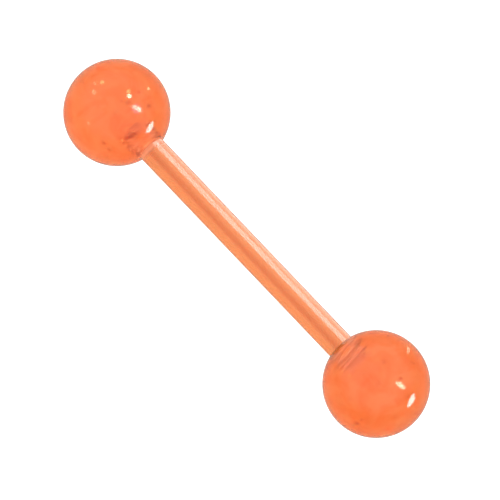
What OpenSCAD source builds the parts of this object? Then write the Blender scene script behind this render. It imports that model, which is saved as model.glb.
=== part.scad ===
// Straight barbell: a plain bar with a screw-on ball at each end, lying along X on its two balls.
// Millimetres. The origin is on the surface that it lies on, under the middle of the bar.

/* [Bar] */
// Diameter of the bar, 14 gauge
bar_d = 1.6; // [1.2:0.1:2]
// Length of the bar from shoulder to shoulder, without its threaded ends
bar_len = 16; // [8:0.5:22]

/* [Balls] */
// Diameter of each ball
ball_d = 6; // [6:0.5:8]
// How much wider than the bar the mouth of a ball's hole is chamfered, all round
mouth_rim = 0.1; // [0.05:0.01:0.2]

/* [Threads] */
// Distance from one thread ridge to the next
pitch = 0.35; // [0.25:0.05:0.35]
// Number of thread ridges on each end of the bar
ridges = 4; // [3:1:5]
// How far the crests of the ridges stand back from the bar's own surface
crest_step = 0.04; // [0.03:0.01:0.08]

/* [Fits] */
// Gap all round between the thread's crests and the wall of the ball's hole
thread_gap = 0.02; // [0.01:0.005:0.03]
// Gap left between the bar's shoulder and the chamfer that it seats on
seat_gap = 0.02; // [0.01:0.005:0.03]
// How much deeper the ball's bore goes than the thread that is screwed into it
spare_depth = 0.75; // [0.1:0.05:0.8]

/* [Hidden] */

bar_r = bar_d / 2;
ball_r = ball_d / 2;
axis_z = ball_r;

// Sides that the round forms are drawn with
bar_sides = 64;
ball_sides = 128;

// Threaded end: V-shaped ridges with flanks at 60 degrees to each other, and a flat root between them
flank_angle = 30;
root_w = pitch / 4;
flank_w = (pitch - root_w) / 2;
crest_r = bar_r - crest_step;
root_r = crest_r - flank_w / tan(flank_angle);
neck_len = 0.25;
point_len = 0.15;
thread_len = neck_len + ridges * pitch;
stud_len = thread_len + point_len;

// Hole in a ball: a chamfered mouth, a bore round the thread, then the tail that the tapping drill left
bore_r = crest_r + thread_gap;
mouth_r = bar_r + mouth_rim;
mouth_depth = mouth_r - bore_r;
shoulder_depth = mouth_rim - seat_gap;
bore_depth = shoulder_depth + thread_len + spare_depth;
drill_r = (bar_d - pitch) / 2;
tail_len = 0.15;
drill_depth = bore_depth + tail_len;
drill_point_angle = 118;
tip_depth = drill_depth + drill_r / tan(drill_point_angle / 2);

// The mouth's rim is a circle on the ball's surface, this far from the ball's centre
rim_from_centre = sqrt(ball_r ^ 2 - mouth_r ^ 2);
ball_x = bar_len / 2 - shoulder_depth + rim_from_centre;

bar_colour = [0.98, 0.62, 0.43];
ball_colour = [1.0, 0.5, 0.31];

// Outline of one ridge, from its root at z up to its crest and down again
function ridge(z) = [
    [root_r, z],
    [crest_r, z + flank_w],
    [root_r, z + 2 * flank_w]
];

// Threaded end of the bar, standing on z = 0. Its foot reaches down into the bar
module threaded_end() {
    foot = 0.2;
    rotate_extrude($fn = bar_sides)
        polygon(concat(
            [[0, -foot], [root_r, -foot]],
            [for (n = [0 : ridges - 1], p = ridge(neck_len + n * pitch)) p],
            [[root_r, thread_len], [root_r - point_len, stud_len], [0, stud_len]]
        ));
}

// Plain rod with a threaded end at each side
module bar() {
    color(bar_colour)
        translate([0, 0, axis_z])
            rotate([0, 90, 0])
                union() {
                    cylinder(r = bar_r, h = bar_len, center = true, $fn = bar_sides);
                    for (turn = [0, 180])
                        rotate([turn, 0, 0])
                            translate([0, 0, bar_len / 2])
                                threaded_end();
                }
}

// Blind hole of a ball, going down from its rim at z = 0. The mouth's cone carries on upwards, clear of the ball
module ball_hole() {
    over = 0.2;
    rotate_extrude($fn = bar_sides)
        polygon([
            [0, over],
            [mouth_r + over, over],
            [bore_r, -mouth_depth],
            [bore_r, -bore_depth],
            [drill_r, -bore_depth],
            [drill_r, -drill_depth],
            [0, -tip_depth]
        ]);
}

// Ball with its centre on the origin and its hole facing up
module ball() {
    difference() {
        sphere(r = ball_r, $fn = ball_sides);
        translate([0, 0, rim_from_centre])
            ball_hole();
    }
}

// Ball at the bar's -X end, its hole facing the bar
module left_ball() {
    color(ball_colour)
        translate([-ball_x, 0, axis_z])
            rotate([0, 90, 0])
                ball();
}

// Ball at the bar's +X end: the other one, turned half round about the up axis
module right_ball() {
    rotate([0, 0, 180])
        left_ball();
}

bar();
left_ball();
right_ball();
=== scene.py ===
import math
import random

import bmesh
import bpy
from mathutils import Matrix, Vector


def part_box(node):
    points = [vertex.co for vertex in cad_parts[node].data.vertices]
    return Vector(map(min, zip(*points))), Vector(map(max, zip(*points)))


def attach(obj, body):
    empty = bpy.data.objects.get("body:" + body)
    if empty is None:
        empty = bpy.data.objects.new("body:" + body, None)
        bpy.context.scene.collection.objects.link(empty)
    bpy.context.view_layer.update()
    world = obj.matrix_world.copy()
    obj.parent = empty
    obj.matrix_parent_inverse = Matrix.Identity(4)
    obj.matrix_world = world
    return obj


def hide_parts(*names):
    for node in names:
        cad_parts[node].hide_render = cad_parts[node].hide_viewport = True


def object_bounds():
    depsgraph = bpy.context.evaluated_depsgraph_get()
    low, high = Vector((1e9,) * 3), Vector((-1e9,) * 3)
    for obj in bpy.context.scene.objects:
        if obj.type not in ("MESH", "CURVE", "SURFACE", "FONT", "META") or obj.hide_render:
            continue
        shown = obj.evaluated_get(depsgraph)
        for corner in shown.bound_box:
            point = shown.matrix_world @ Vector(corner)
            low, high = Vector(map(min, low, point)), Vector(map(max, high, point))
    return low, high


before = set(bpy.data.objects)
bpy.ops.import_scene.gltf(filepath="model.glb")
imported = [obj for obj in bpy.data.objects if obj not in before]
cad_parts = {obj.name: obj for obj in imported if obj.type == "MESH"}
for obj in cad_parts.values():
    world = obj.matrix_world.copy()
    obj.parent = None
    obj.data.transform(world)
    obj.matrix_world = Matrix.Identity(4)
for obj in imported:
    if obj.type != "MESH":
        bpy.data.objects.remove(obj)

cad_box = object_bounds()

# Bar
# A plain round rod of flexible thermoplastic, dyed a paler orange than the balls and half clear. It is
# extruded, so faint lines run along it, and a right-handed thread is moulded on each end for a ball.
MM = 0.001
axis_z = (cad_box[0].z + cad_box[1].z) / 2 / MM
bar_r = 0.8
shaft_half = 8.0
shoulder_round = 0.02
neck_len = 0.25
pitch = 0.35
ridges = 4
thread_run_out = 0.12
stud_crest_r = 0.76
stud_root_r = 0.545
stud_crest_flat = 0.04
stud_root_flat = 0.25
point_len = 0.15
thread_end = shaft_half + neck_len + ridges * pitch
bar_dye_hex = "#E38B54"
bar_streak_hex = "#E0834D"
# Painted light: the top of the bar's -X end is drawn in this paler colour; the thread's milky part uses it
# too
milky_and_painted_light_hex = "#FA9E70"
painted_light_from = (7.5, 7.74)
painted_light_edge = 0.1
stud_root_hex = "#FFF4EC"
stud_crest_hex = "#ECBCA0"
stud_tip_hex = "#C89C86"
thread_ior = 1.2
thread_milkiness = 0.15


def linear(hex_colour):
    """An sRGB hex colour as a linear RGBA."""
    parts = [int(hex_colour[n:n + 2], 16) / 255 for n in (1, 3, 5)]
    return (*[p / 12.92 if p <= 0.04045 else ((p + 0.055) / 1.055) ** 2.4 for p in parts], 1.0)


def add_node(tree, kind, inputs=None, **settings):
    """Adds a node. Each of its inputs gets a value, or a link from another node's output."""
    new = tree.nodes.new(kind)
    for name, value in settings.items():
        setattr(new, name, value)
    for socket, value in (inputs or {}).items():
        if isinstance(value, bpy.types.NodeSocket):
            tree.links.new(value, new.inputs[socket])
        else:
            new.inputs[socket].default_value = value
    return new


# A Mix node takes its two colours on these inputs, and gives their mix on this output
COLOUR_A, COLOUR_B, MIXED = 6, 7, 2


def empty_material(name):
    """A material with no nodes yet."""
    material = bpy.data.materials.new(name)
    material.use_nodes = True
    material.node_tree.nodes.clear()
    return material


# How finely turned pieces are drawn: points round the axis, and rows for each turn of a thread
columns = 128
rows_a_turn = 14


def ring(along, radius):
    """One plain row of points: the same distance along the axis and radius all round."""
    return [(along, radius)] * (columns + 1)


def thread_rows(start, end, low_r, high_r, low_flat, high_flat):
    """Rows of points (distance along the axis, radius), in mm, of a right-handed thread from start to end.

    A row climbs by one pitch in a turn, as the helix does, and is held at the two ends, where the thread
    runs out. The flats are shares of the pitch, and whole pitches past start are in the middle of a low one.
    """
    rows = []
    for n in range(int((end - start) / pitch + 1) * rows_a_turn + 1):
        from_low = abs((n / rows_a_turn + 0.5) % 1 - 0.5)
        height = (from_low - low_flat / 2) / (0.5 - high_flat / 2 - low_flat / 2)
        height = min(max(height, 0), 1)
        row = []
        for c in range(columns + 1):
            along = start + pitch * (n / rows_a_turn + c / columns - 1)
            held = min(max(along, start), end)
            ease = min(1, (held - start) / thread_run_out, (end - held) / thread_run_out)
            row.append((held, low_r + (high_r - low_r) * height * ease))
        rows.append(row)
    return rows


def turned_piece(name, rows, middle, facing):
    """A mesh turned about the bar's axis from rows of points in mm, counted from middle on that axis.

    Facing 1 looks along +X. Facing -1 turns the whole piece half round, so a thread keeps its hand.
    """
    form = bmesh.new()
    grid = []
    for row in rows:
        line = []
        for c, (along, radius) in enumerate(row):
            turn = facing * 2 * math.pi * c / columns
            spot = (middle + facing * along, radius * math.cos(turn), radius * math.sin(turn))
            line.append(form.verts.new(spot))
        grid.append(line)
    for low, high in zip(grid, grid[1:]):
        for c in range(columns):
            form.faces.new((low[c], low[c + 1], high[c + 1], high[c]))
    weld = 1e-4
    bmesh.ops.remove_doubles(form, verts=form.verts, dist=weld)
    bmesh.ops.dissolve_degenerate(form, edges=form.edges, dist=weld)
    bmesh.ops.recalc_face_normals(form, faces=form.faces)
    return shown_piece(name, form)


def shown_piece(name, form):
    """An object from a mesh in mm about the bar's axis, smooth but for its sharp edges."""
    sharpest_smooth = math.radians(35)
    mesh = bpy.data.meshes.new(name)
    form.to_mesh(mesh)
    form.free()
    mesh.transform(Matrix.Scale(MM, 4) @ Matrix.Translation((0, 0, axis_z)))
    mesh.polygons.foreach_set("use_smooth", [True] * len(mesh.polygons))
    mesh.set_sharp_from_angle(angle=sharpest_smooth)
    piece = bpy.data.objects.new(name, mesh)
    bpy.context.scene.collection.objects.link(piece)
    return piece


def stud_rows():
    """The outline of one end of the bar, from its shoulder to its point, in mm from the bar's middle."""
    thread_start = shaft_half + neck_len
    point = thread_end + point_len
    rows = [ring(shaft_half - shoulder_round, bar_r), ring(shaft_half, bar_r - shoulder_round)]
    rows += [ring(shaft_half, stud_root_r)]
    rows += thread_rows(thread_start, thread_end, stud_root_r, stud_crest_r, stud_root_flat, stud_crest_flat)
    rows += [ring(point, stud_root_r - point_len), ring(point, 0)]
    return rows


def bar_rows():
    """The whole bar from point to point. The -X end is the +X one turned half round about the up axis."""
    right_end = stud_rows()
    left_end = []
    for row in reversed(right_end):
        left_end.append([(-along, radius) for along, radius in reversed(row)])
    return left_end + right_end


def distance_from_axis(tree, place):
    """The output, in metres, of how far a point of a shaded piece lies from the bar's axis."""
    about_axis = add_node(tree, "ShaderNodeMapping", {
        "Vector": place.outputs["Object"],
        "Location": (0, 0, -axis_z * MM),
        "Scale": (0, 1, 1),
    })
    away = add_node(tree, "ShaderNodeVectorMath", {0: about_axis.outputs["Vector"]}, operation="LENGTH")
    return away.outputs["Value"]


# Flexible thermoplastic, dyed and extruded: half clear and glossy, with a softer shine than the balls
dyed_thermoplastic = empty_material("dyed_flexible_thermoplastic_extruded")
tree = dyed_thermoplastic.node_tree
place = add_node(tree, "ShaderNodeTexCoord")
# Extrusion lines: about 0.1 mm wide round the bar, and about as long as the bar
stretched = add_node(tree, "ShaderNodeMapping", {
    "Vector": place.outputs["Object"],
    "Scale": (60, 9000, 9000),
})
lines = add_node(tree, "ShaderNodeTexNoise", {
    "Vector": stretched.outputs["Vector"],
    "Scale": 1.0,
    "Detail": 3.0,
    "Roughness": 0.6,
})
shade = add_node(tree, "ShaderNodeValToRGB", {"Fac": lines.outputs["Fac"]})
shade.color_ramp.elements[0].position = 0.3
shade.color_ramp.elements[0].color = linear(bar_streak_hex)
shade.color_ramp.elements[1].position = 0.65
shade.color_ramp.elements[1].color = linear(bar_dye_hex)
# Painted light: the top of the bar at its -X end, next to the left ball, is drawn paler, milkier and less
# clear, so it shows light there
spot = add_node(tree, "ShaderNodeSeparateXYZ", {"Vector": place.outputs["Object"]})
at_end = add_node(tree, "ShaderNodeMapRange", {
    "Value": spot.outputs["X"],
    "From Min": -painted_light_from[0] * MM,
    "From Max": -painted_light_from[1] * MM,
}, interpolation_type="SMOOTHSTEP")
on_top = add_node(tree, "ShaderNodeMapRange", {
    "Value": spot.outputs["Z"],
    "From Min": (axis_z - painted_light_edge) * MM,
    "From Max": (axis_z + painted_light_edge) * MM,
}, interpolation_type="SMOOTHSTEP")
painted_light = add_node(tree, "ShaderNodeMath", {
    0: at_end.outputs["Result"],
    1: on_top.outputs["Result"],
}, operation="MULTIPLY")
painted_light_mix = add_node(tree, "ShaderNodeMix", {
    "Factor": painted_light.outputs["Value"],
    COLOUR_A: shade.outputs["Color"],
    COLOUR_B: linear(milky_and_painted_light_hex),
}, data_type="RGBA")
clear = add_node(tree, "ShaderNodeMapRange", {
    "Value": painted_light.outputs["Value"],
    "To Min": 0.85,
    "To Max": 0.2,
})
scatter = add_node(tree, "ShaderNodeMapRange", {
    "Value": painted_light.outputs["Value"],
    "To Min": 1.0,
    "To Max": 0.0,
})
skin = add_node(tree, "ShaderNodeBsdfPrincipled", {
    "Base Color": painted_light_mix.outputs[MIXED],
    "Roughness": 0.19,
    "IOR": 1.46,
    "Transmission Weight": clear.outputs["Result"],
    "Subsurface Weight": scatter.outputs["Result"],
    "Subsurface Radius": (1.0, 0.4, 0.25),
    "Subsurface Scale": 0.0008,
})
add_node(tree, "ShaderNodeOutputMaterial", {"Surface": skin.outputs["BSDF"]})

# The same plastic, moulded into the thread: dull, nearly clear and a little milky. The ball's acrylic lies
# close round it, so it bends light less than it would in air
moulded_thread = empty_material("dyed_flexible_thermoplastic_moulded_thread")
tree = moulded_thread.node_tree
place = add_node(tree, "ShaderNodeTexCoord")
# Grain of the mould's thread, about 0.1 mm
grain = add_node(tree, "ShaderNodeTexNoise", {
    "Vector": place.outputs["Object"],
    "Scale": 10000.0,
    "Detail": 2.0,
})
dull = add_node(tree, "ShaderNodeMapRange", {"Value": grain.outputs["Fac"], "To Min": 0.3, "To Max": 0.5})
# The crests and the tip of the thread are drawn darker than its roots
crest = add_node(tree, "ShaderNodeMapRange", {
    "Value": distance_from_axis(tree, place),
    "From Min": (stud_root_r + 2 * stud_crest_r) / 3 * MM,
    "From Max": stud_crest_r * MM,
})
darker_crests = add_node(tree, "ShaderNodeMix", {
    "Factor": crest.outputs["Result"],
    COLOUR_A: linear(stud_root_hex),
    COLOUR_B: linear(stud_crest_hex),
}, data_type="RGBA")
spot = add_node(tree, "ShaderNodeSeparateXYZ", {"Vector": place.outputs["Object"]})
out = add_node(tree, "ShaderNodeMath", {0: spot.outputs["X"]}, operation="ABSOLUTE")
tip = add_node(tree, "ShaderNodeMapRange", {
    "Value": out.outputs["Value"],
    "From Min": (thread_end - pitch / 2) * MM,
    "From Max": thread_end * MM,
})
darker_tip = add_node(tree, "ShaderNodeMix", {
    "Factor": tip.outputs["Result"],
    COLOUR_A: darker_crests.outputs[MIXED],
    COLOUR_B: linear(stud_tip_hex),
}, data_type="RGBA")
see_through = add_node(tree, "ShaderNodeBsdfPrincipled", {
    "Base Color": darker_tip.outputs[MIXED],
    "Roughness": dull.outputs["Result"],
    "IOR": thread_ior,
    "Transmission Weight": 1.0,
})
milky = add_node(tree, "ShaderNodeBsdfPrincipled", {
    "Base Color": linear(milky_and_painted_light_hex),
    "Roughness": dull.outputs["Result"],
    "IOR": thread_ior,
})
skin = add_node(tree, "ShaderNodeMixShader", {
    "Fac": thread_milkiness,
    1: see_through.outputs["BSDF"],
    2: milky.outputs["BSDF"],
})
add_node(tree, "ShaderNodeOutputMaterial", {"Surface": skin.outputs["Shader"]})

bar = turned_piece("moulded_bar", bar_rows(), 0, 1)
bar_finishes = (dyed_thermoplastic, moulded_thread)
for finish in bar_finishes:
    bar.data.materials.append(finish)
for face in bar.data.polygons:
    if abs(face.center.x) / MM > shaft_half - shoulder_round / 2:
        face.material_index = bar_finishes.index(moulded_thread)
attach(bar, "bar")
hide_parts("bar")


# Balls
# Each is a 6 mm ball of cast acrylic (PMMA), dyed orange, a little milky and polished, with a blind hole
# drilled and tapped in one side. It is screwed on until the hole's chamfer meets the bar's shoulder.
ball_r = 3.0
mouth_r = 0.9
mouth_round = 0.012
rim_from_centre = math.sqrt(ball_r ** 2 - mouth_r ** 2)
bore_r = 0.78
drill_r = 0.625
tap_root_flat = 0.1
tap_crest_flat = 0.39
tapped_from = 0.2
# The tap goes this many turns deeper than the stud
spare_turns = 2
drill_depth = 2.63
drill_point_angle = 118
ball_deep_hex = "#EC722D"
ball_pale_hex = "#F08346"
hole_hex = "#FFF2EA"
mouth_hex = "#FFD2BA"
# Painted shade at the mouth of the right ball's hole
painted_shade_mouth_hex = "#B8D0D0"
# Painted shade in the grooves of the right ball's thread
painted_shade_groove_hex = "#CFBAB4"
# The painted shade in the right ball's hole: from and to this depth below the mouth, and outside this radius
# in the grooves below that
painted_shade_depth = (0.12, 0.72)
groove_from = 0.72

# Acrylic, dyed, cast and polished: a bright orange, a little milky, with sharp highlights
dyed_acrylic = empty_material("dyed_cast_acrylic_polished")
tree = dyed_acrylic.node_tree
place = add_node(tree, "ShaderNodeTexCoord")
# The dye is stirred in before the acrylic is cast, and leaves soft swirls between 1 and 2 mm across
swirl = add_node(tree, "ShaderNodeTexNoise", {
    "Vector": place.outputs["Object"],
    "Scale": 650.0,
    "Detail": 2.5,
    "Distortion": 0.8,
})
shade = add_node(tree, "ShaderNodeValToRGB", {"Fac": swirl.outputs["Fac"]})
shade.color_ramp.elements[0].position = 0.4
shade.color_ramp.elements[0].color = linear(ball_deep_hex)
shade.color_ramp.elements[1].position = 0.62
shade.color_ramp.elements[1].color = linear(ball_pale_hex)
skin = add_node(tree, "ShaderNodeBsdfPrincipled", {
    "Base Color": shade.outputs["Color"],
    "Roughness": 0.1,
    "IOR": 1.49,
    "Transmission Weight": 0.75,
    "Subsurface Weight": 1.0,
    "Subsurface Radius": (1.0, 0.35, 0.2),
    "Subsurface Scale": 0.0015,
})
add_node(tree, "ShaderNodeOutputMaterial", {"Surface": skin.outputs["BSDF"]})

# The drill and the tap leave the hole's wall cut and a little rough, so it shows paler than the outside.
# The stud all but fills the hole, so the wall bends light far less than acrylic does in air
cut_acrylic = empty_material("tapped_cast_acrylic_wall")
tree = cut_acrylic.node_tree
place = add_node(tree, "ShaderNodeTexCoord")
# Marks of the tap, about 0.05 mm apart
marks = add_node(tree, "ShaderNodeTexNoise", {
    "Vector": place.outputs["Object"],
    "Scale": 20000.0,
    "Detail": 2.0,
})
rough = add_node(tree, "ShaderNodeMapRange", {"Value": marks.outputs["Fac"], "To Min": 0.05, "To Max": 0.2})
# Painted shade: the grooves of the right ball's thread are drawn greyer and less clear, as deep as the stud
# reaches
groove = add_node(tree, "ShaderNodeMapRange", {
    "Value": distance_from_axis(tree, place),
    "From Min": groove_from * MM,
    "From Max": bore_r * MM,
})
spot = add_node(tree, "ShaderNodeSeparateXYZ", {"Vector": place.outputs["Object"]})
on_right = add_node(tree, "ShaderNodeMath", {0: spot.outputs["X"], 1: 0.0}, operation="GREATER_THAN")
before_tip = add_node(tree, "ShaderNodeMath", {
    0: spot.outputs["X"],
    1: thread_end * MM,
}, operation="LESS_THAN")
right_groove = add_node(tree, "ShaderNodeMath", {
    0: groove.outputs["Result"],
    1: on_right.outputs["Value"],
}, operation="MULTIPLY")
painted_shade_groove = add_node(tree, "ShaderNodeMath", {
    0: right_groove.outputs["Value"],
    1: before_tip.outputs["Value"],
}, operation="MULTIPLY")
wall = add_node(tree, "ShaderNodeMix", {
    "Factor": painted_shade_groove.outputs["Value"],
    COLOUR_A: linear(hole_hex),
    COLOUR_B: linear(painted_shade_groove_hex),
}, data_type="RGBA")
clear = add_node(tree, "ShaderNodeMapRange", {
    "Value": painted_shade_groove.outputs["Value"],
    "To Min": 0.88,
    "To Max": 0.25,
})
skin = add_node(tree, "ShaderNodeBsdfPrincipled", {
    "Base Color": wall.outputs[MIXED],
    "Roughness": rough.outputs["Result"],
    "IOR": 1.06,
    "Transmission Weight": clear.outputs["Result"],
})
add_node(tree, "ShaderNodeOutputMaterial", {"Surface": skin.outputs["BSDF"]})

# The countersink leaves the hole's mouth matt and paler than the polished outside
frosted_mouth = empty_material("countersunk_cast_acrylic_mouth")
tree = frosted_mouth.node_tree
place = add_node(tree, "ShaderNodeTexCoord")
# Marks of the countersink, about 0.05 mm apart
marks = add_node(tree, "ShaderNodeTexNoise", {
    "Vector": place.outputs["Object"],
    "Scale": 20000.0,
    "Detail": 2.0,
})
matt = add_node(tree, "ShaderNodeMapRange", {"Value": marks.outputs["Fac"], "To Min": 0.3, "To Max": 0.6})
skin = add_node(tree, "ShaderNodeBsdfPrincipled", {
    "Base Color": linear(mouth_hex),
    "Roughness": matt.outputs["Result"],
    "IOR": 1.49,
    "Transmission Weight": 0.1,
})
add_node(tree, "ShaderNodeOutputMaterial", {"Surface": skin.outputs["BSDF"]})

# Painted shade: a pale, chalky grey, matt and not see-through, on the first turns of the right ball's thread
painted_shade_finish = empty_material("painted_shade_right_thread")
tree = painted_shade_finish.node_tree
place = add_node(tree, "ShaderNodeTexCoord")
# Crumbs of about 0.1 mm
crumbs = add_node(tree, "ShaderNodeTexNoise", {
    "Vector": place.outputs["Object"],
    "Scale": 9000.0,
    "Detail": 2.0,
})
chalky = add_node(tree, "ShaderNodeMapRange", {"Value": crumbs.outputs["Fac"], "To Min": 0.5, "To Max": 0.9})
skin = add_node(tree, "ShaderNodeBsdfPrincipled", {
    "Base Color": linear(painted_shade_mouth_hex),
    "Roughness": chalky.outputs["Result"],
})
add_node(tree, "ShaderNodeOutputMaterial", {"Surface": skin.outputs["BSDF"]})


def ball_rows(middle):
    """The ball's outline from the point of its hole, out of the mouth and round to the far side.

    Distances are along the axis from the ball's centre, with the mouth on the positive side. The tapped
    thread starts a whole number of pitches from the bar's, so its ridges lie between the bar's ridges.
    """
    rim = rim_from_centre
    tip_depth = drill_depth + drill_r / math.tan(math.radians(drill_point_angle / 2))
    thread_start = middle - (shaft_half + neck_len + (ridges + spare_turns) * pitch)
    rows = [ring(rim - tip_depth, 0), ring(rim - drill_depth, drill_r)]
    rows += thread_rows(thread_start, rim - tapped_from, drill_r, bore_r, tap_crest_flat, tap_root_flat)
    rows += [ring(rim - (mouth_r - bore_r), bore_r), ring(rim - mouth_round, mouth_r - mouth_round)]
    first = math.asin(mouth_r / ball_r) + mouth_round / ball_r
    steps = 96
    for n in range(steps + 1):
        polar = first + (math.pi - first) * n / steps
        rows.append(ring(ball_r * math.cos(polar), ball_r * math.sin(polar)))
    return rows


ball_finishes = (dyed_acrylic, cut_acrylic, frosted_mouth, painted_shade_finish)
ball_middle = {}
for side, facing in (("left", 1), ("right", -1)):
    low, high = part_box(f"{side}_ball")
    far = (low.x if facing > 0 else high.x) / MM
    ball_middle[side] = far + facing * ball_r
    ball = turned_piece(f"{side}_acrylic_ball", ball_rows(abs(ball_middle[side])), ball_middle[side], facing)
    for finish in ball_finishes:
        ball.data.materials.append(finish)
    for face in ball.data.polygons:
        out = face.center / MM - Vector((ball_middle[side], 0, axis_z))
        if out.length < ball_r - mouth_round:
            depth = rim_from_centre - out.x * facing
            finish = frosted_mouth if depth < mouth_r - bore_r else cut_acrylic
            if side == "right" and painted_shade_depth[0] < depth < painted_shade_depth[1]:
                finish = painted_shade_finish
            face.material_index = ball_finishes.index(finish)
    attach(ball, f"{side}_ball")
    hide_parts(f"{side}_ball")


# Glitter
# Hexagonal flakes punched from metallised polyester film and stirred into the acrylic before it is cast.
# They lie every way up, so a few glint at a time and the ones turned away look like dark specks.
flake_thick = 0.02
loose_flakes = 55
loose_across = (0.08, 0.15)
loose_from_centre = (1.1, 2.82)
# The loose ones keep this far from the hole's axis, from past its end to its mouth
hole_end, hole_clear_r = -0.4, 1.05
# How far those that look pale or dark lean away from the camera
pale_lean, dark_lean = 0.3, 1.2
film_deep_hex = "#FFC890"
film_pale_hex = "#FFF0D0"

# The photo's view, which the flakes are placed by: back points to the camera, right and up are the picture's
azimuth, elevation = math.radians(48.0), math.radians(70.5)
back = Vector((
    math.sin(azimuth) * math.cos(elevation),
    -math.cos(azimuth) * math.cos(elevation),
    math.sin(elevation),
))
right = Vector((math.cos(azimuth), math.sin(azimuth), 0))
up = back.cross(right)
px_per_mm = 17.98
acrylic_ior = 1.49

# Where the photo shows a flake: pixels right of and below the ball's middle, mm below the ball's
# surface, mm across, and which way it is turned
seen_flakes = {
    "left": (
        (12.4, -16.0, 0.15, 0.26, "glint"),
        (12.0, -20.8, 0.35, 0.26, "glint"),
        (-22.6, -20.0, 0.25, 0.30, "glint"),
        (-14.6, -30.0, 0.25, 0.28, "glint"),
        (-21.6, -29.0, 0.40, 0.20, "glint"),
        (31.9, -23.5, 0.30, 0.22, "glint"),
        (-27.6, 11.0, 0.45, 0.24, "glint"),
        (-12.6, 31.0, 0.30, 0.24, "dark"),
        (-7.6, 38.0, 0.30, 0.26, "dark"),
        (32.4, -6.0, 0.30, 0.26, "dark"),
        (10.4, 25.6, 0.50, 0.28, "dark"),
        (14.6, 24.4, 0.60, 0.32, "dark"),
        (18.4, 21.6, 0.60, 0.26, "dark"),
    ),
    "right": (
        (33.1, -32.8, 0.20, 0.24, "glint"),
        (-25.9, 14.2, 0.40, 0.22, "pale"),
        (-19.4, 38.8, 0.40, 0.24, "pale"),
        (24.0, -6.0, 0.35, 0.20, "dark"),
        (31.0, 12.0, 0.40, 0.20, "dark"),
    ),
}


def ball_normal(right_px, down_px):
    """Which way the ball's surface faces where the photo shows it this far from the ball's middle."""
    x, y = right_px / px_per_mm / ball_r, -down_px / px_per_mm / ball_r
    return right * x + up * y + back * math.sqrt(1 - x * x - y * y)


def mirrored(normal):
    """The direction of the light that a surface facing along normal mirrors to the camera."""
    return 2 * normal.dot(back) * normal - back


def bent_inwards(ray, normal):
    """A ray's direction after it enters the acrylic through a surface facing along normal."""
    ratio = 1 / acrylic_ior
    cosine = -ray.dot(normal)
    return ratio * ray + (ratio * cosine - math.sqrt(1 - ratio ** 2 * (1 - cosine ** 2))) * normal


# The flakes that glint mirror a lamp here, where the left ball shows its first highlight
glitter_lamp_direction = mirrored(ball_normal(20.0, -3.5))


def add_flake(form, middle, facing, across, turn):
    """Adds one closed hexagonal plate to form, facing along the vector facing."""
    side = facing.orthogonal().normalized()
    other = facing.cross(side)
    rims = []
    for level in (-flake_thick / 2, flake_thick / 2):
        rim = []
        for n in range(6):
            angle = turn + math.pi * n / 3
            out = side * math.cos(angle) + other * math.sin(angle)
            rim.append(form.verts.new(middle + out * across / 2 + facing * level))
        rims.append(rim)
    form.faces.new(rims[1])
    form.faces.new(list(reversed(rims[0])))
    for n in range(6):
        following = (n + 1) % 6
        form.faces.new((rims[0][n], rims[0][following], rims[1][following], rims[1][n]))


# Polyester film with a thin coat of metal: it mirrors some light in pale gold and lets the rest through
film = empty_material("metallised_polyester_film")
tree = film.node_tree
island = add_node(tree, "ShaderNodeNewGeometry")
tint = add_node(tree, "ShaderNodeValToRGB", {"Fac": island.outputs["Random Per Island"]})
tint.color_ramp.elements[0].color = linear(film_deep_hex)
tint.color_ramp.elements[1].color = linear(film_pale_hex)
gleam = add_node(tree, "ShaderNodeMapRange", {
    "Value": island.outputs["Random Per Island"],
    "To Min": 0.05,
    "To Max": 0.2,
})
skin = add_node(tree, "ShaderNodeBsdfPrincipled", {
    "Base Color": tint.outputs["Color"],
    "Metallic": 0.6,
    "Roughness": gleam.outputs["Result"],
    "Transmission Weight": 1.0,
    "IOR": 1.1,
})
add_node(tree, "ShaderNodeOutputMaterial", {"Surface": skin.outputs["BSDF"]})

chance = random.Random(11)
for side, facing in (("left", 1), ("right", -1)):
    centre = Vector((ball_middle[side], 0, 0))
    form = bmesh.new()
    for right_px, down_px, depth, across, look in seen_flakes[side]:
        normal = ball_normal(right_px, down_px)
        into = bent_inwards(-back, normal)
        middle = centre + normal * ball_r + into * depth
        lit = bent_inwards(-glitter_lamp_direction, normal)
        ways = {"glint": -into - lit, "pale": -into + up * pale_lean, "dark": -into - up * dark_lean}
        add_flake(form, middle, ways[look].normalized(), across, chance.uniform(0, math.pi))
    made = 0
    while made < loose_flakes:
        away = Vector([chance.gauss(0, 1) for axis in range(3)]).normalized()
        from_centre = chance.uniform(*(distance ** 3 for distance in loose_from_centre)) ** (1 / 3)
        spot = away * from_centre
        in_hole = spot.x * facing > hole_end and math.hypot(spot.y, spot.z) < hole_clear_r
        if in_hole:
            continue
        faces = Vector([chance.gauss(0, 1) for axis in range(3)]).normalized()
        add_flake(form, centre + spot, faces, chance.uniform(*loose_across), 0)
        made += 1
    glitter = shown_piece(f"{side}_ball_glitter", form)
    glitter.data.polygons.foreach_set("use_smooth", [False] * len(glitter.data.polygons))
    glitter.data.materials.append(film)
    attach(glitter, f"{side}_ball")


# Studio
# A pale light table in even white light, seen nearly from above through a very long lens. The picture is
# 500 pixels square, and the bar's middle lies a little up and left of its centre.
picture_px = 500
bar_middle_px = (246.25, 247.88)
camera_distance = 1.0
# The bar's tinted shadow painted on the table below it, along the bar and across: its middle, and how far
# from there it is full and gone
painted_shadow_middle = (-0.8, 0.99)
painted_shadow_full = (8.0, 0.05)
painted_shadow_gone = (8.6, 0.55)
painted_shadow_hex = "#DFB692"
table_hex = "#8C8C8C"
table_glow = 1.15
through_glow = 13.0
through_hex = "#80A8FF"
through_surfaces = (4.0, 6.0)
through_reach = (1.9, 2.3)
room_glow = 1.3
horizon_hex = "#FFF8EA"

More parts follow.
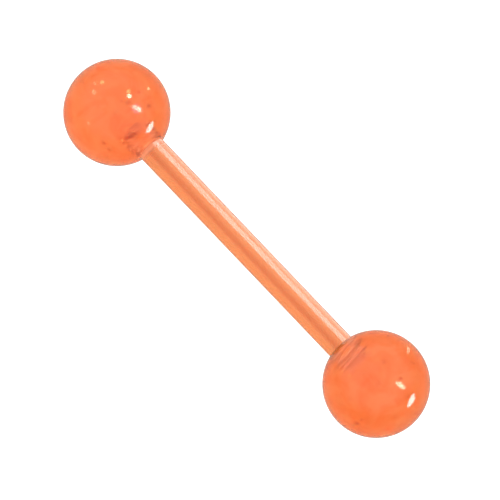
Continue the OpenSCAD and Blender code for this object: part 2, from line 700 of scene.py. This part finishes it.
# The table is 4 m square, so its edge is never seen
half = 2.0
floor_mesh = bpy.data.meshes.new("table")
corners = [(-half, -half, 0), (half, -half, 0), (half, half, 0), (-half, half, 0)]
floor_mesh.from_pydata(corners, [], [(0, 1, 2, 3)])
floor = bpy.data.objects.new("table", floor_mesh)
bpy.context.scene.collection.objects.link(floor)
opal = empty_material("opal_light_table")
tree = opal.node_tree
# The light that comes down through the bar is painted on the table as a tinted shadow below it. The picture
# shows it only through the bar: the table itself is burnt out to white around it
place = add_node(tree, "ShaderNodeTexCoord")
spot = add_node(tree, "ShaderNodeSeparateXYZ", {"Vector": place.outputs["Object"]})
shares = []
for axis, middle, full, gone in zip("XY", painted_shadow_middle, painted_shadow_full, painted_shadow_gone):
    offset = add_node(tree, "ShaderNodeMath", {0: spot.outputs[axis], 1: middle * MM}, operation="SUBTRACT")
    away = add_node(tree, "ShaderNodeMath", {0: offset.outputs["Value"]}, operation="ABSOLUTE")
    share = add_node(tree, "ShaderNodeMapRange", {
        "Value": away.outputs["Value"],
        "From Min": full * MM,
        "From Max": gone * MM,
        "To Min": 1.0,
        "To Max": 0.0,
    }, interpolation_type="SMOOTHSTEP")
    shares.append(share.outputs["Result"])
painted_shadow = add_node(tree, "ShaderNodeMath", {0: shares[0], 1: shares[1]}, operation="MULTIPLY")
seen = add_node(tree, "ShaderNodeLightPath")
unseen = add_node(tree, "ShaderNodeMath", {0: 1.0, 1: seen.outputs["Is Camera Ray"]}, operation="SUBTRACT")
painted_shadow_unseen_by_camera = add_node(tree, "ShaderNodeMath", {
    0: painted_shadow.outputs["Value"],
    1: unseen.outputs["Value"],
}, operation="MULTIPLY")
tint = add_node(tree, "ShaderNodeValToRGB", {"Fac": painted_shadow_unseen_by_camera.outputs["Value"]})
tint.color_ramp.elements[0].color = (1, 1, 1, 1)
tint.color_ramp.elements[1].color = linear(painted_shadow_hex)
# Light that crosses a ball, its hole and the thread in it loses too much to their tints, so the table gives
# it more. Such light leaves the table close below the ball. What crosses a bare thread, with the ball off,
# comes from further away and gets no more than the rest
crossed = add_node(tree, "ShaderNodeMapRange", {
    "Value": seen.outputs["Ray Depth"],
    "From Min": through_surfaces[0],
    "From Max": through_surfaces[1],
})
close = add_node(tree, "ShaderNodeMapRange", {
    "Value": seen.outputs["Ray Length"],
    "From Min": through_reach[1] * MM,
    "From Max": through_reach[0] * MM,
})
through = add_node(tree, "ShaderNodeMath", {
    0: crossed.outputs["Result"],
    1: close.outputs["Result"],
}, operation="MULTIPLY")
power = add_node(tree, "ShaderNodeMapRange", {
    "Value": through.outputs["Value"],
    "To Min": table_glow,
    "To Max": through_glow,
})
cool = add_node(tree, "ShaderNodeMix", {
    "Factor": through.outputs["Value"],
    COLOUR_A: tint.outputs["Color"],
    COLOUR_B: linear(through_hex),
}, data_type="RGBA")
skin = add_node(tree, "ShaderNodeBsdfPrincipled", {
    "Base Color": linear(table_hex),
    "Roughness": 0.9,
    "Emission Color": cool.outputs[MIXED],
    "Emission Strength": power.outputs["Result"],
})
add_node(tree, "ShaderNodeOutputMaterial", {"Surface": skin.outputs["BSDF"]})
floor.data.materials.append(opal)
floor.visible_glossy = False

# The room lights the pieces most from overhead and a little warmly from the horizon. Straight or through a
# piece it is seen evenly white
world = bpy.data.worlds.new("studio")
bpy.context.scene.world = world
world.use_nodes = True
tree = world.node_tree
tree.nodes.clear()
place = add_node(tree, "ShaderNodeTexCoord")
height = add_node(tree, "ShaderNodeSeparateXYZ", {"Vector": place.outputs["Generated"]})
fall = add_node(tree, "ShaderNodeMapRange", {
    "Value": height.outputs["Z"],
    "From Min": -0.1,
    "From Max": 0.5,
    "To Min": 0.62,
    "To Max": 1.2,
})
under = add_node(tree, "ShaderNodeMapRange", {
    "Value": height.outputs["Z"],
    "From Min": -1.0,
    "From Max": -0.6,
    "To Min": 0.85,
    "To Max": 1.0,
})
even = add_node(tree, "ShaderNodeMath", {
    0: fall.outputs["Result"],
    1: under.outputs["Result"],
}, operation="MULTIPLY")
warmth = add_node(tree, "ShaderNodeValToRGB", {"Fac": height.outputs["Z"]})
warmth.color_ramp.elements[0].color = linear(horizon_hex)
warmth.color_ramp.elements[1].color = (1, 1, 1, 1)
warmth.color_ramp.elements[1].position = 0.3
seen = add_node(tree, "ShaderNodeLightPath")
straight = add_node(tree, "ShaderNodeMath", {
    0: seen.outputs["Is Camera Ray"],
    1: seen.outputs["Is Transmission Ray"],
}, operation="MAXIMUM")
shown = add_node(tree, "ShaderNodeMix", {
    "Factor": straight.outputs["Value"],
    "A": even.outputs["Value"],
    "B": room_glow,
})
light = add_node(tree, "ShaderNodeBackground", {
    "Color": warmth.outputs["Color"],
    "Strength": shown.outputs["Result"],
})
add_node(tree, "ShaderNodeOutputWorld", {"Surface": light.outputs["Background"]})


def area_lamp(name, shape, sizes, strength, colour_hex, middle, toward, along, away, lit):
    """An area lamp that faces middle from the direction toward, away metres off, and lights one collection.

    Its sizes, in metres, are along the vector along and at right angles to it. Each point of it is as bright
    as strength says, whatever its size.
    """
    light = bpy.data.lights.new(name, "AREA")
    light.shape = shape
    light.size, light.size_y = sizes
    area = sizes[0] * sizes[1] * (1 if shape == "RECTANGLE" else math.pi / 4)
    light.energy = strength * math.pi * area
    light.color = linear(colour_hex)[:3]
    lamp = bpy.data.objects.new(name, light)
    lamp.matrix_world = Matrix.Translation(middle + toward * away) @ Matrix((
        along, toward.cross(along), toward)).transposed().to_4x4()
    lamp.visible_camera = lamp.visible_diffuse = False
    lamp.light_linking.receiver_collection = lit
    bpy.context.scene.collection.objects.link(lamp)
    return lamp


# Oval lamps for each ball, placed where the ball mirrors them to the camera. A row gives the two ends of
# the highlight in pixels right of and below the ball's middle, its width in pixels, the lamp's strength
# and its colour. An oval's ends are thin, so each lamp is drawn longer than its highlight by oval_spare
ball_lamps = {
    "left": (
        ((15.4, -6.0), (24.4, -1.6), 3.4, 13.0, "#FFF6D8"),
        ((20.8, -3.6), (24.4, -1.8), 4.8, 6.0, "#FFF6D8"),
        ((11.9, -17.8), (13.2, -14.2), 4.4, 18.0, "#FFFBE8"),
        ((29.9, 19.8), (36.1, 10.2), 7.8, 16.0, "#FFFFFF"),
    ),
    "right": (
        ((19.6, -1.7), (28.2, 4.2), 3.7, 16.0, "#FFF6D8"),
        ((37.0, 10.4), (31.4, 21.9), 8.6, 16.0, "#FFFFFF"),
        ((30.8, -34.3), (33.4, -32.0), 20.0, 5.0, "#FFF0D0"),
    ),
}
oval_spare = 1.12
ball_lamp_distance = 0.25
glitter_lamp_size = 0.085
glitter_lamp_strength = 24.0
glitter_lamp_hex = "#7C88E8"
for side, rows in ball_lamps.items():
    centre = Vector((ball_middle[side], 0, axis_z)) * MM
    lit_pieces = bpy.data.collections.new(f"{side}_ball_lit")
    for name in (f"{side}_acrylic_ball", f"{side}_ball_glitter"):
        lit_pieces.objects.link(bpy.data.objects[name])
    for n, (first, last, width, strength, colour) in enumerate(rows):
        from_first, from_last = (mirrored(ball_normal(*spot)) for spot in (first, last))
        toward = (from_first + from_last).normalized()
        along = (from_last - from_first).normalized()
        long_size = oval_spare * (from_last - from_first).length * ball_lamp_distance
        sizes = (long_size, long_size * width / math.dist(first, last))
        lamp = area_lamp(f"{side}_oval_{n + 1}", "ELLIPSE", sizes, strength, colour,
                         centre, toward, along, ball_lamp_distance, lit_pieces)
        lamp.visible_transmission = False
# One more lamp for the left ball, mirrored by its flakes and hardly at all by its own surface
centre = Vector((ball_middle["left"], 0, axis_z)) * MM
lamp = area_lamp("left_glitter_lamp", "DISK", (glitter_lamp_size, glitter_lamp_size), glitter_lamp_strength,
                 glitter_lamp_hex, centre, glitter_lamp_direction,
                 glitter_lamp_direction.orthogonal().normalized(), ball_lamp_distance,
                 bpy.data.collections["left_ball_lit"])
lamp.visible_glossy = False

# Two softboxes that light the bar alone and run along it. A row gives the two edges of the stripe that
# the bar mirrors, in pixels to the upper right of its axis, and the lamp's strength
bar_softboxes = (
    (4.6, 9.4, 7.8),
    (9.4, 13.6, 2.8),
)
softbox_distance = 0.22
softbox_length = 0.3
lit_bar = bpy.data.collections.new("bar_lit")
lit_bar.objects.link(bar)
bar_axis = Vector((1, 0, 0))
across = bar_axis.cross(back).normalized()
if across.dot(up) < 0:
    across.negate()
facing_camera = (back - bar_axis * back.dot(bar_axis)).normalized()
for n, (first, last, strength) in enumerate(bar_softboxes):
    ends = []
    for edge in (first, last):
        turn = math.asin(edge / px_per_mm / bar_r)
        ends.append(mirrored(facing_camera * math.cos(turn) + across * math.sin(turn)))
    width = (ends[1] - ends[0]).length * softbox_distance
    lamp = area_lamp(f"bar_softbox_{n + 1}", "RECTANGLE", (width, softbox_length), strength, "#FFFFFF",
                     Vector((0, 0, 0)), (ends[0] + ends[1]).normalized(), (ends[1] - ends[0]).normalized(),
                     softbox_distance, lit_bar)
    lamp.visible_transmission = False

# The camera, with a lens so long that the picture has next to no perspective
off_right, off_down = ((picture_px / 2 - px) / px_per_mm for px in bar_middle_px)
aim = (Vector((0, 0, axis_z)) + right * off_right - up * off_down) * MM
camera = bpy.data.objects.new("camera", bpy.data.cameras.new("camera"))
camera.location = aim + back * camera_distance
camera.rotation_euler = back.to_track_quat("Z", "Y").to_euler()
camera.data.lens = camera.data.sensor_width * camera_distance / (picture_px / px_per_mm * MM)
camera.data.clip_start, camera.data.clip_end = 0.1, 10
bpy.context.scene.collection.objects.link(camera)
bpy.context.scene.camera = camera
bpy.context.scene.view_settings.view_transform = "Standard"
